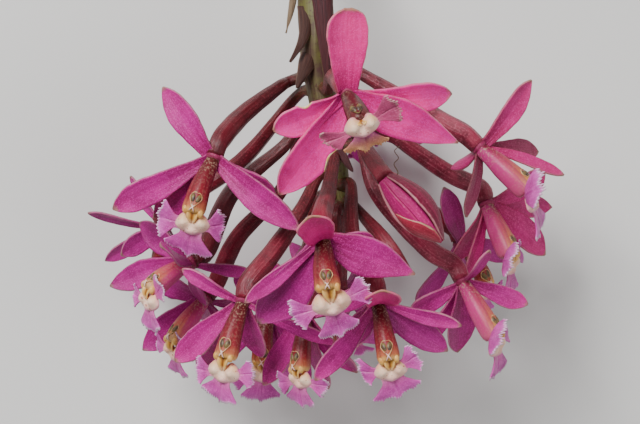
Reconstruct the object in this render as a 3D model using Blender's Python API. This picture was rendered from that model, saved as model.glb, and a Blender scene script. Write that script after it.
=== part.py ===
"""A cut flower head of an epidendrum orchid, laid on its back on a flat surface.

The head's own axes are used all through: +X right, +Y towards the cut stalk, +Z up off the surface.
Flat places (x, y) in the tables are those seen from straight above, in millimetres on the middle plane
of the head. The function `at` slides each one along its line of sight to its real height z.
"""

import math

import bmesh
import bpy
from mathutils import Matrix, Vector

MM = 0.001
EYE = 355.0  # height of the viewer over the middle plane, mm
BLADE = 0.7  # thickness of every petal, sepal and lip blade, mm
GAP = 0.35  # clearance between neighbouring pieces, mm
BASE_GAP = 0.85  # clearance from the rachis to the foot of a pedicel, mm
HUB_R, HUB_T = 1.9, 1.4  # receptacle where the five tepals meet, mm
SHIFT = Vector((-0.5, -30.0, 34.15))  # brings the middle of the base to the origin, mm

# Rachis: its top and bottom ends on the middle plane, and its radii there, mm.
RACHIS_TOP, RACHIS_END = Vector((-0.4, 29.4, 0.0)), Vector((5.0, -0.6, 0.0))
RACHIS_R0, RACHIS_R1 = 3.0, 1.5

# Each bloom: neck (x, y, z); lip = throat (x, y, z), facing, down, size; base = share of the way down the
# rachis and the angle round it (0 up, 90 right); way = points its pedicel passes; then five tepals:
# tip (x, y, z), widest width, arch (share of length, + bows towards the viewer side).
BLOOMS = {
    "01": dict(
        neck=(5.4, 23.4, 27), throat=(8.2, 17.6, 34.5), face=(0.2, -0.4, 0.9), down=(0.24, -0.97, -0.4),
        size=1.1, base=(0.16, 10), way=[(2.5, 27.0, 12)],
        tepals=[
            (5.6, 40.8, 33, 7.2, 0.06), (-9.4, 16.4, 28, 5.0, 0.08), (26.4, 23.0, 24, 5.6, 0.10),
            (-8.2, 3.6, 22, 7.4, 0.10), (27.6, 12.0, 22, 7.0, 0.10),
        ],
    ),
    "02": dict(
        neck=(-21.2, 10.8, 14), throat=(-25.4, -0.2, 17.5), face=(-0.15, -0.3, 0.92), down=(-0.08, -0.99, -0.3),
        size=1.0, base=(0.05, -88), way=[(-8.4, 24.8, 3), (-15.2, 19.6, 7.5)],
        tepals=[
            (-31.4, 25.0, 14, 5.0, 0.06), (-41.4, 0.6, 10, 5.4, 0.10), (-4.0, -3.6, 17, 5.4, 0.08),
            (-33.0, -1.0, 7, 6.0, 0.10), (-9.0, 2.2, 9, 5.6, 0.06),
        ],
    ),
    "03": dict(
        neck=(0.6, -5.6, 28), throat=(1.6, -15.6, 32), face=(0.05, -0.3, 0.95), down=(0.25, -0.97, -0.3),
        size=1.1, base=(0.60, 0), way=[(1.6, 4.0, 14)],
        tepals=[
            (-2.6, 0.2, 40, 7.0, 0.10), (-15.0, -18.0, 25, 3.0, 0.08), (-12.2, -22.0, 20, 8.0, 0.10),
            (19.0, -12.4, 26, 7.2, 0.10), (11.0, -6.0, 24, 4.0, 0.06),
        ],
    ),
    "04": dict(
        neck=(11.6, -18.2, 20), throat=(13.8, -29.8, 24), face=(0.05, -0.3, 0.95), down=(0.16, -0.97, -0.3),
        size=0.92, base=(0.80, 25), way=[(6.4, -5.0, 12)],
        tepals=[
            (12.8, -14.8, 34, 7.6, 0.08), (28.2, -22.6, 18, 2.8, 0.06), (25.4, -27.6, 14, 5.4, 0.06),
            (-1.0, -33.6, 17, 4.6, 0.08), (4.0, -27.0, 12, 5.0, 0.06),
        ],
    ),
    "05": dict(
        neck=(-15.4, -18.0, 14), throat=(-18.8, -29.2, 17), face=(-0.4, -0.15, 0.9), down=(-0.16, -0.98, -0.2),
        size=1.0, base=(0.70, -45), way=[(-3.6, 0.6, 7), (-9.4, -8.0, 10.5)],
        tepals=[
            (-27.6, -11.4, 14, 2.8, 0.06), (-28.8, -29.8, 8, 5.0, 0.08), (3.4, -26.4, 15, 2.6, 0.08),
            (-24.6, -31.0, 3, 5.0, 0.06), (-11.6, -29.0, 7, 4.4, 0.06),
        ],
    ),
    "06": dict(
        neck=(-26.0, -10.0, 5), throat=(-34.0, -15.8, 9), face=(-0.65, -0.1, 0.75), down=(-0.22, -0.97, -0.1),
        size=0.9, base=(0.30, -70), way=[(-7.0, 13.4, 1.5), (-17.6, 4.0, 3)],
        tepals=[
            (-41.8, -14.8, -1, 5.0, 0.08), (-31.4, -6.4, 17, 5.0, 0.06), (-13.5, -12.2, 3, 2.4, 0.06),
            (-36.0, -2.0, 1, 5.0, 0.06), (-23.0, -18.5, -4, 4.0, 0.06),
        ],
    ),
    "07": dict(
        neck=(-23.0, -17.4, -9), throat=(-29.2, -26.2, -5), face=(-0.5, -0.4, 0.75), down=(-0.25, -0.95, -0.2),
        size=0.92, base=(0.40, -110), way=[(-7.6, 4.6, -4), (-16.4, -5.0, -7)],
        tepals=[
            (-35.4, -27.6, -13, 5.6, 0.08), (-20.4, -24.0, -20, 4.4, 0.06), (-15.0, -26.0, -12, 3.6, 0.06),
            (-12.5, -18.0, -15, 3.0, 0.06), (-34.0, -12.0, -10, 5.0, 0.06),
        ],
    ),
    "08": dict(
        neck=(-10.4, -20.4, -5), throat=(-11.6, -30.2, -4), face=(0.0, -0.3, 0.95), down=(0.0, -0.98, -0.2),
        size=0.95, base=(0.85, -90), way=[(-2.5, -8.0, -2)],
        tepals=[
            (-22.0, -31.0, -8, 4.4, 0.0), (-2.0, -34.0, -12, 4.4, 0.06), (-16.5, -11.0, -3, 4.0, 0.06),
            (-0.5, -14.5, -8, 4.0, 0.06), (-6.6, -36.0, -10, 2.4, 0.06),
        ],
    ),
    "09": dict(
        neck=(-2.8, -20.8, 7), throat=(-4.0, -31.6, 10), face=(-0.6, -0.2, 0.7), down=(-0.1, -0.98, -0.1),
        size=0.85, base=(0.95, -20), way=[(2.6, -8.0, 4)],
        tepals=[
            (-11.2, -34.6, 0, 4.8, 0.0), (7.5, -32.0, 0, 4.6, 0.06), (11.0, -15.5, 3, 4.0, 0.06),
            (-9.5, -10.0, 3, 4.0, 0.06), (2.0, -35.0, -4, 4.0, 0.06),
        ],
    ),
    "10": dict(
        neck=(32.0, 12.8, 6), throat=(41.4, 4.2, 9), face=(0.7, 0.2, 0.65), down=(0.5, -0.82, -0.3),
        size=1.0, base=(0.05, 85), way=[(7.6, 28.0, 1), (16.8, 22.6, 2.6), (25.6, 17.4, 4.4)],
        tepals=[
            (42.2, 26.4, 3, 4.4, 0.08), (43.6, 12.0, -4, 4.0, 0.08), (29.0, -1.0, 3, 3.6, 0.08),
            (48.8, 7.4, 1, 2.6, 0.06), (26.0, 9.0, -1, 4.0, 0.06),
        ],
    ),
    "11": dict(
        neck=(33.4, 1.4, -9), throat=(37.8, -8.6, -4), face=(0.6, -0.1, 0.75), down=(0.3, -0.93, -0.2),
        size=0.95, base=(0.35, 100), way=[(13.4, 16.0, -4.4), (25.0, 8.2, -6.8)],
        tepals=[
            (45.0, -8.6, -13.5, 5.8, 0.08), (26.5, -10.0, -14, 5.0, 0.08), (29.0, -14.0, -6, 3.0, 0.06),
            (45.0, 8.0, -14, 5.0, 0.06), (46.0, 1.0, -20, 4.6, 0.06),
        ],
    ),
    "12": dict(
        neck=(28.6, -14.0, 6), throat=(34.8, -25.0, 10), face=(0.5, -0.2, 0.8), down=(0.4, -0.9, -0.2),
        size=0.88, base=(0.55, 80), way=[(11.4, 3.6, 4.4), (21.0, -6.8, 5.6)],
        tepals=[
            (41.4, -18.4, 3, 3.8, 0.06), (33.8, -7.6, 15, 2.8, 0.06), (18.0, -20.0, 5, 4.0, 0.06),
            (27.4, -28.0, -3, 6.0, 0.06), (20.5, -27.0, 1, 3.4, 0.06),
        ],
    ),
    "13": dict(
        neck=(-31.0, -3.0, -15), throat=(-32.0, -12.6, -20), face=(-0.4, -0.5, 0.5), down=(-0.1, -0.9, -0.3),
        size=0.7, base=(0.15, -120), way=[(-16.0, 10.0, -10)],
        tepals=[
            (-46.4, 0.0, -11, 2.6, 0.06), (-39.8, -8.6, -14, 4.4, 0.06), (-37.8, 7.2, -19, 3.0, 0.06),
            (-27.0, -7.0, -34, 5.0, 0.04), (-43.0, -9.8, -22, 3.4, 0.06),
        ],
    ),
    "14": dict(
        neck=(28.0, -6.0, -20), throat=(33.0, -14.5, -21), face=(0.5, -0.3, 0.6), down=(0.3, -0.9, 0.0),
        size=0.8, base=(0.45, 120), way=[(16.0, 4.0, -16)],
        tepals=[
            (24.6, 5.0, -11, 4.6, 0.06), (36.0, 3.0, -19, 4.4, 0.06), (30.0, -9.0, -34, 5.0, 0.04),
            (19.0, -18.0, -24, 4.4, 0.06), (39.5, -9.0, -28, 4.4, 0.06),
        ],
    ),
    "15": dict(
        neck=(7.4, 18.6, -19), throat=(7.6, 16.4, -28.4), face=(0.0, -0.3, -0.9), down=(0.0, -0.9, 0.3),
        size=0.7, base=(0.20, 170), way=[(2.6, 22.0, -11)],
        tepals=[
            (9.5, 9.0, -21, 4.4, 0.06), (-5.4, 17.2, -18, 4.0, 0.06), (21.6, 22.4, -17, 4.0, 0.06),
            (-4.6, 8.0, -22, 4.4, 0.06), (20.6, 14.0, -20, 4.4, 0.06),
        ],
    ),
    "16": dict(
        neck=(4.0, -16.0, -18), throat=(5.0, -26.0, -19), face=(0.1, -0.8, -0.5), down=(0.9, 0.1, -0.2),
        size=0.85, base=(0.75, 170), way=[(4.0, -4.0, -12)],
        tepals=[
            (-9.0, -20.0, -20, 4.6, 0.06), (3.0, -22.0, -34, 5.0, 0.04), (16.0, -24.0, -18, 4.6, 0.06),
            (12.0, -6.0, -26, 4.6, 0.06), (-6.0, -6.0, -26, 4.6, 0.06),
        ],
    ),
}

# Share along a tepal and share of its widest width there.
TEPAL_SHAPE = ((0.0, 0.36), (0.25, 0.72), (0.55, 1.0), (0.8, 0.8), (1.0, 0.14))

COLORS = {
    "tepals": (0.55, 0.05, 0.26, 1), "lip": (0.62, 0.22, 0.55, 1), "pedicel": (0.16, 0.02, 0.04, 1),
    "stem": (0.14, 0.13, 0.05, 1), "bud": (0.45, 0.05, 0.18, 1),
}


def at(place):
    """The real point, in head axes, of a place seen on the middle plane."""
    x, y, z = place
    k = (EYE - z) / EYE
    return Vector((x * k, y * k, z))


def part_way(low, high, t):
    return low + (high - low) * t


def shape_at(t, table):
    for (t0, w0), (t1, w1) in zip(table, table[1:]):
        if t <= t1:
            return w0 + (w1 - w0) * (t - t0) / (t1 - t0)
    return table[-1][1]


def across(direction, hint):
    """The part of hint that stands square to direction, one long."""
    side = hint - direction * (hint.dot(direction) / direction.length_squared)
    if side.length < 1e-6:
        side = direction.orthogonal()
    return side.normalized()


def new_object(name, points, faces, kind):
    mesh = bpy.data.meshes.new(name)
    mesh.from_pydata([(p + SHIFT) * MM for p in points], [], faces)
    mesh.validate()
    bm = bmesh.new()
    bm.from_mesh(mesh)
    bmesh.ops.recalc_face_normals(bm, faces=bm.faces)
    bm.to_mesh(mesh)
    bm.free()
    obj = bpy.data.objects.new(name, mesh)
    bpy.context.scene.collection.objects.link(obj)
    obj.data.materials.append(material(kind))
    for face in mesh.polygons:
        face.use_smooth = True
    return obj


def material(kind):
    found = bpy.data.materials.get(kind)
    if found:
        return found
    made = bpy.data.materials.new(kind)
    made.use_nodes = True
    shader = made.node_tree.nodes["Principled BSDF"]
    shader.inputs["Base Color"].default_value = COLORS[kind]
    shader.inputs["Roughness"].default_value = 0.45
    return made


def grid_solid(rows, thickness):
    """Closed blade round a grid of middle points: rows[i][j]. Both faces are split into triangles alike."""
    n, m = len(rows), len(rows[0])
    up = []
    for i in range(n):
        line = []
        for j in range(m):
            along = rows[min(i + 1, n - 1)][j] - rows[max(i - 1, 0)][j]
            aside = rows[i][min(j + 1, m - 1)] - rows[i][max(j - 1, 0)]
            line.append(along.cross(aside).normalized() * thickness / 2)
        up.append(line)
    points = [rows[i][j] + up[i][j] for i in range(n) for j in range(m)]
    points += [rows[i][j] - up[i][j] for i in range(n) for j in range(m)]
    k = n * m
    faces = []
    for i in range(n - 1):
        for j in range(m - 1):
            a, b, c, d = i * m + j, (i + 1) * m + j, (i + 1) * m + j + 1, i * m + j + 1
            halves = [(a, b, c), (a, c, d)] if j < (m - 1) / 2 else [(a, b, d), (b, c, d)]
            for h in halves:
                faces.append(h)
                faces.append(tuple(v + k for v in reversed(h)))
    rim = [j for j in range(m)] + [i * m + m - 1 for i in range(1, n)]
    rim += [(n - 1) * m + j for j in range(m - 2, -1, -1)] + [i * m for i in range(n - 2, 0, -1)]
    for a, b in zip(rim, rim[1:] + rim[:1]):
        faces += [(a, b, b + k), (a, b + k, a + k)]
    return points, faces


def tube_solid(path, radii, sides, flat=1.0, hint=Vector((0, 0, 1))):
    """Closed tube along path with a radius at each point."""
    points, faces = [], []
    side = across(path[1] - path[0], hint)
    for i, p in enumerate(path):
        along = path[min(i + 1, len(path) - 1)] - path[max(i - 1, 0)]
        side = across(along, side)
        other = along.normalized().cross(side)
        for s in range(sides):
            a = 2 * math.pi * s / sides
            points.append(p + (side * math.cos(a) * flat + other * math.sin(a)) * radii[i])
    for i in range(len(path) - 1):
        for s in range(sides):
            a, b = i * sides + s, i * sides + (s + 1) % sides
            faces += [(a, b, b + sides), (a, b + sides, a + sides)]
    faces.append(tuple(range(sides))[::-1])
    faces.append(tuple(range((len(path) - 1) * sides, len(path) * sides)))
    return points, faces


def smooth_path(points, steps):
    """Catmull-Rom curve through the points."""
    out = []
    ends = [points[0] * 2 - points[1]] + list(points) + [points[-1] * 2 - points[-2]]
    for p0, p1, p2, p3 in zip(ends, ends[1:], ends[2:], ends[3:]):
        for k in range(steps):
            t = k / steps
            out.append(
                (p1 * 2 + (p2 - p0) * t + (p0 * 2 - p1 * 5 + p2 * 4 - p3) * t * t
                 + (p1 * 3 - p0 - p2 * 3 + p3) * t * t * t) * 0.5
            )
    out.append(points[-1])
    return out


def fuse(name, solids, kind):
    """One closed body from overlapping solids."""
    base = new_object(name, *solids[0], kind)
    if len(solids) == 1:
        return base
    cutters = bpy.data.collections.new(name + "_cutters")
    for i, solid in enumerate(solids[1:]):
        cutter = new_object(f"{name}_{i}", *solid, kind)
        bpy.context.scene.collection.objects.unlink(cutter)
        cutters.objects.link(cutter)
    bpy.context.scene.collection.children.link(cutters)
    boolean = base.modifiers.new("Union", "BOOLEAN")
    boolean.operation, boolean.operand_type = "UNION", "COLLECTION"
    boolean.collection, boolean.solver = cutters, "EXACT"
    boolean.use_self = True
    graph = bpy.context.evaluated_depsgraph_get()
    mesh = bpy.data.meshes.new_from_object(base.evaluated_get(graph))
    base.modifiers.clear()
    base.data = mesh
    for cutter in list(cutters.objects):
        bpy.data.objects.remove(cutter)
    bpy.data.collections.remove(cutters)
    for face in mesh.polygons:
        face.use_smooth = True
    return base


def rachis_point(share, angle, out):
    """A point out mm off the rachis surface, share of the way down and angle round it."""
    along = (RACHIS_END - RACHIS_TOP).normalized()
    right = across(along, Vector((1, 0, 0)))
    turn = math.radians(angle)
    radius = RACHIS_R0 + (RACHIS_R1 - RACHIS_R0) * share + out
    return part_way(RACHIS_TOP, RACHIS_END, share) + (Vector((0, 0, 1)) * math.cos(turn)
                                                      + right * math.sin(turn)) * radius


def tepal_rows(neck, axis, face, tip, width, arch, table=TEPAL_SHAPE):
    """Middle surface of one tepal: rows from base to tip, three points across."""
    start = neck + across(axis, tip - neck) * 0.9
    chord = tip - start
    up = across(chord, face)
    side = chord.cross(up).normalized()
    rows = []
    for t, w in table:
        middle = start + chord * t + up * (arch * chord.length * 4 * t * (1 - t) ** 1.5)
        half = width * w / 2
        lift = up * (0.22 * half)
        rows.append([middle - side * half + lift, middle, middle + side * half + lift])
    return rows


def tepals_solids(bloom):
    neck, axis = at(bloom["neck"]), bloom_axis(bloom)
    solids = [tube_solid([neck - axis * HUB_T / 2, neck + axis * HUB_T / 2], [HUB_R, HUB_R * 0.9], 8)]
    face = Vector(bloom["face"])
    for x, y, z, width, arch in bloom["tepals"]:
        solids.append(grid_solid(tepal_rows(neck, axis, face, at((x, y, z)), width, arch), BLADE))
    return solids


def bloom_axis(bloom):
    return (at(bloom["throat"]) - at(bloom["neck"])).normalized()


def lip_reach(angle):
    """How far the lip's edge is from its throat, mm, at an angle from its middle lobe."""
    a = abs(angle)
    table = ((0, 7.0), (11, 7.3), (26, 8.2), (36, 5.6), (46, 3.4), (62, 5.6), (80, 7.2), (100, 7.0),
             (122, 5.0), (142, 2.2))
    return shape_at(a, table)


LIP_ANGLES = (-140, -112, -84, -60, -46, -28, -14, 0, 14, 28, 46, 60, 84, 112, 140)
FAR_LIP_ANGLES = (-136, -92, -60, -44, -22, 22, 44, 60, 92, 136)
FAR_BLOOMS = ("07", "08", "13", "14", "15", "16")


def lip_solids(bloom):
    neck, throat, axis = at(bloom["neck"]), at(bloom["throat"]), bloom_axis(bloom)
    face = Vector(bloom["face"]).normalized()
    down = across(face, Vector(bloom["down"]))
    side = face.cross(down)
    size = bloom["size"]
    start = neck + axis * (HUB_T / 2 + 3.2 * GAP)
    bend = across(axis, down) * -0.7
    path = [start, part_way(start, throat, 0.35) + bend, part_way(start, throat, 0.7) + bend, throat]
    path.append(throat + (face * 0.6 - down * 0.5) * 1.6)
    solids = [tube_solid(path, [1.0, 1.35, 1.7, 2.05, 1.3], 6)]
    rows = []
    for share in (0.12, 0.55, 1.0):
        line = []
        for angle in bloom["angles"]:
            reach = lip_reach(angle) * size * share
            turn = math.radians(angle)
            drop = -face * (0.035 * reach * reach)
            line.append(throat + (down * math.cos(turn) + side * math.sin(turn)) * reach + drop)
        rows.append(line)
    solids.append(grid_solid(rows, BLADE))
    for sign in () if bloom["angles"] == FAR_LIP_ANGLES else (-1, 1):
        low = throat + down * 1.6 + side * (1.0 * sign) + face * 0.1
        solids.append(tube_solid([low, low + down * 1.7 + face * 0.9, low + down * 3.2 + face * 0.1],
                                 [0.8, 1.0, 0.5], 4))
    return solids


def pedicel_solids(bloom):
    neck, axis = at(bloom["neck"]), bloom_axis(bloom)
    base = rachis_point(*bloom["base"], BASE_GAP)
    leave = rachis_point(*bloom["base"], 3.5) + Vector((0, -0.8, 0))
    end = neck - axis * (HUB_T / 2 + 2.7 * GAP)
    points = [base, leave] + [at(p) for p in bloom["way"]] + [end - axis * 3.4, end]
    path = smooth_path(points, 2)
    n = len(path) - 1
    radii = [1.05 + 0.9 * min(1, i / n * 1.5) for i in range(n + 1)]
    radii[-1] = 1.35
    return [tube_solid(path, radii, 7)]


def stem_solids():
    stalk = [
        (-3.0, 88.0, -31.4), (-3.0, 74.0, -22.0), (-2.0, 58.0, -9.0), (-1.0, 44.0, -1.5), (-0.6, 36.0, 0.0),
        (-0.4, 29.4, 0.0),
    ]
    path = smooth_path([at(p) for p in stalk] + [RACHIS_TOP * 0.5 + RACHIS_END * 0.5, RACHIS_END], 2)
    n = len(path) - 1
    table = ((0.0, 3.0), (0.5, 3.1), (0.62, 3.7), (0.76, 3.1), (0.9, 2.3), (1.0, 1.4))
    radii = [shape_at(i / n, table) for i in range(n + 1)]
    solids = [tube_solid(path, radii, 10)]
    for root, tip, width in (
        ((-4.0, 52.0, -4.0), (-6.0, 33.0, 2.5), 3.0), ((-2.0, 48.0, 1.0), (-6.5, 29.8, 5.0), 3.4),
        ((1.6, 52.0, -3.0), (2.8, 25.0, 4.6), 4.4), ((-1.6, 31.5, 2.4), (-4.4, 22.6, 6.2), 3.6),
    ):
        low, high = at(root), at(tip)
        up = across(high - low, Vector((0, 0, 1)))
        side = (high - low).cross(up).normalized()
        rows = []
        for t, w in ((0.0, 1.0), (0.4, 1.0), (0.75, 0.66), (1.0, 0.16)):
            middle = part_way(low, high, t) + up * (0.5 * math.sin(math.pi * t))
            half = width * w / 2
            rows.append([middle - side * half - up * half * 0.5, middle, middle + side * half - up * half * 0.5])
        solids.append(grid_solid(rows, BLADE))
    return solids


def bud_solids():
    """The half-open bud: a closed spindle with one outer sepal standing off it, on its own pedicel."""
    base, tip = at((13.0, 6.8, 20)), at((24.4, -5.8, 20))
    path = [part_way(base, tip, t) for t in (0.0, 0.12, 0.35, 0.6, 0.82, 1.0)]
    solids = [tube_solid(path, [1.6, 2.4, 3.5, 3.4, 2.2, 0.5], 9)]
    axis = Vector((0.5, 0.6, 0.62))
    rows = tepal_rows(base + Vector((0.6, 0.6, 0.4)), axis, axis, at((25.6, -2.6, 23.4)), 4.8, 0.16)
    solids.append(grid_solid(rows, BLADE))
    root = rachis_point(0.47, 55, BASE_GAP)
    points = [root, rachis_point(0.47, 55, 4.0), at((9.6, 11.6, 13)), base]
    stalk = smooth_path(points, 2)
    n = len(stalk) - 1
    solids.append(tube_solid(stalk, [1.0 + 0.7 * i / n for i in range(n + 1)], 7))
    return solids


def spent_solids():
    """A pedicel whose bloom has fallen, with the stub left at its end."""
    points = [rachis_point(0.90, 60, BASE_GAP), at((9.2, -1.4, 5)), at((12.8, -5.6, 10)), at((16.8, -11.6, 12))]
    path = smooth_path(points, 2)
    n = len(path) - 1
    return [tube_solid(path, [1.0 + 0.5 * i / n for i in range(n)] + [0.9], 7)]


for old in list(bpy.data.objects):
    bpy.data.objects.remove(old)

fuse("stem", stem_solids(), "stem")
fuse("bud", bud_solids(), "bud")
fuse("pedicel_spent", spent_solids(), "pedicel")
for number, bloom in BLOOMS.items():
    bloom["angles"] = FAR_LIP_ANGLES if number in FAR_BLOOMS else LIP_ANGLES
    fuse("pedicel_" + number, pedicel_solids(bloom), "pedicel")
    fuse("tepals_" + number, tepals_solids(bloom), "tepals")
    fuse("lip_" + number, lip_solids(bloom), "lip")
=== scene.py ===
import math
import random

import bpy
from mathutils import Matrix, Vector, noise


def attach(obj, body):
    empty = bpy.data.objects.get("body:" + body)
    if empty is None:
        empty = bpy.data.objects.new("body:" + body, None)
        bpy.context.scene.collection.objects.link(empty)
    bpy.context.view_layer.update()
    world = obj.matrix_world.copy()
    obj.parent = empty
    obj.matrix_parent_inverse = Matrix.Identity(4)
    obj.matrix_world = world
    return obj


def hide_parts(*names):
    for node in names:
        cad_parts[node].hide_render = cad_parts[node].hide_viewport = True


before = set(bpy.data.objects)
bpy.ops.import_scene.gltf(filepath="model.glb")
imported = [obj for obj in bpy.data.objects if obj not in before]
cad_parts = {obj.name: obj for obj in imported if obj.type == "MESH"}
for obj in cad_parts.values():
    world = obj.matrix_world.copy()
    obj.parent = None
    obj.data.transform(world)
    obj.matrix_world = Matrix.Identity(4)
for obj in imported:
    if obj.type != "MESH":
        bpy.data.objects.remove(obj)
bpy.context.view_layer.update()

# The flower stalk: a fleshy olive stem, a little swollen where the head begins, that runs on between the
# blooms as a thinner rachis. It is one grown body, cut plainly at its far end, which bends to the surface.
# Places are in head mm: MIDDLE moves them into the part's frame, and EYE is how far off the viewer is.
MM = 0.001
EYE = 355.0
MIDDLE = Vector((-0.5, -30.0, 34.15))
RACHIS_TOP, RACHIS_END = Vector((-0.4, 29.4, 0.0)), Vector((5.0, -0.6, 0.0))
RACHIS_R0, RACHIS_R1 = 3.0, 1.5


def at(place):
    """The real point, in head axes and mm, of a place seen from above on the middle plane."""
    x, y, z = place
    k = (EYE - z) / EYE
    return Vector((x * k, y * k, z))


def across(direction, hint):
    side = hint - direction * (hint.dot(direction) / direction.length_squared)
    if side.length < 1e-6:
        side = direction.orthogonal()
    return side.normalized()


def curve_through(points, steps):
    out = []
    ends = [points[0] * 2 - points[1]] + list(points) + [points[-1] * 2 - points[-2]]
    for p0, p1, p2, p3 in zip(ends, ends[1:], ends[2:], ends[3:]):
        for k in range(steps):
            t = k / steps
            out.append(
                (p1 * 2 + (p2 - p0) * t + (p0 * 2 - p1 * 5 + p2 * 4 - p3) * t * t
                 + (p1 * 3 - p0 - p2 * 3 + p3) * t * t * t) * 0.5
            )
    out.append(points[-1])
    return out


def even_path(points, count):
    """The same curve as count + 1 points at even distances."""
    fine = curve_through(points, 12)
    runs = [0.0]
    for a, b in zip(fine, fine[1:]):
        runs.append(runs[-1] + (b - a).length)
    out, j = [], 0
    for i in range(count + 1):
        want = runs[-1] * i / count
        while j < len(fine) - 2 and runs[j + 1] < want:
            j += 1
        share = (want - runs[j]) / max(runs[j + 1] - runs[j], 1e-9)
        out.append(fine[j].lerp(fine[j + 1], min(max(share, 0.0), 1.0)))
    return out


def eased(t, table):
    """A smooth curve through the table's (place, value) pairs."""
    if t <= table[0][0]:
        return table[0][1]
    for i in range(len(table) - 1):
        (t0, w0), (t1, w1) = table[i], table[i + 1]
        if t <= t1:
            s0 = (w1 - table[i - 1][1]) / (t1 - table[i - 1][0]) if i else (w1 - w0) / (t1 - t0)
            s1 = ((table[i + 2][1] - w0) / (table[i + 2][0] - t0) if i + 2 < len(table)
                  else (w1 - w0) / (t1 - t0))
            h, k = t1 - t0, (t - t0) / (t1 - t0)
            return ((2 * k**3 - 3 * k**2 + 1) * w0 + (k**3 - 2 * k**2 + k) * h * s0
                    + (3 * k**2 - 2 * k**3) * w1 + (k**3 - k**2) * h * s1)
    return table[-1][1]


def laid_grid(name, wide, long, place):
    """A grid whose corners u -1..1 and t 0..1 are laid where place(u, t) says, in head mm."""
    bpy.ops.object.select_all(action="DESELECT")
    bpy.ops.mesh.primitive_grid_add(x_subdivisions=wide, y_subdivisions=long, size=2.0)
    obj = bpy.context.object
    obj.name = name
    for v in obj.data.vertices:
        v.co = (place(v.co.x, (v.co.y + 1) / 2) + MIDDLE) * MM
    return obj


def grown_tube(name, path, radius, wide=20, hint=Vector((0, 0, 1))):
    """A closed tube along path; radius(angle, t) in mm. Its UV runs round and along."""
    last = len(path) - 1
    frames, side = [], across(path[1] - path[0], hint)
    for i in range(last + 1):
        along = path[min(i + 1, last)] - path[max(i - 1, 0)]
        side = across(along, side)
        frames.append((path[i], side.copy(), along.normalized().cross(side)))

    def place(u, t):
        p, a, b = frames[round(t * last)]
        turn = math.pi * u
        return p + (a * math.cos(turn) + b * math.sin(turn)) * radius(turn, t)

    obj = laid_grid(name, wide, last, place)
    bpy.ops.object.mode_set(mode="EDIT")
    bpy.ops.mesh.select_all(action="SELECT")
    bpy.ops.mesh.remove_doubles(threshold=1e-6)
    bpy.ops.mesh.select_all(action="DESELECT")
    bpy.ops.mesh.select_mode(type="EDGE")
    bpy.ops.mesh.select_non_manifold()
    bpy.ops.mesh.fill_holes(sides=0)
    bpy.ops.mesh.select_all(action="SELECT")
    bpy.ops.mesh.normals_make_consistent(inside=False)
    bpy.ops.object.mode_set(mode="OBJECT")
    return obj


def thick_blade(name, wide, long, place, thick):
    """A laid grid given an even thickness in mm; the far side takes the second material."""
    obj = laid_grid(name, wide, long, place)
    solid = obj.modifiers.new("Thick", "SOLIDIFY")
    solid.thickness, solid.offset = thick * MM, 0.0
    solid.material_offset, solid.material_offset_rim = 1, 0
    bpy.ops.object.modifier_apply(modifier=solid.name)
    return obj


def dress(obj, *materials):
    for m in materials:
        obj.data.materials.append(m)
    for face in obj.data.polygons:
        face.use_smooth = True
    return obj


def joined(name, parts):
    bpy.ops.object.select_all(action="DESELECT")
    for part in parts:
        part.select_set(True)
    bpy.context.view_layer.objects.active = parts[0]
    if len(parts) > 1:
        bpy.ops.object.join()
    obj = bpy.context.view_layer.objects.active
    obj.name = obj.data.name = name
    return obj


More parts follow.
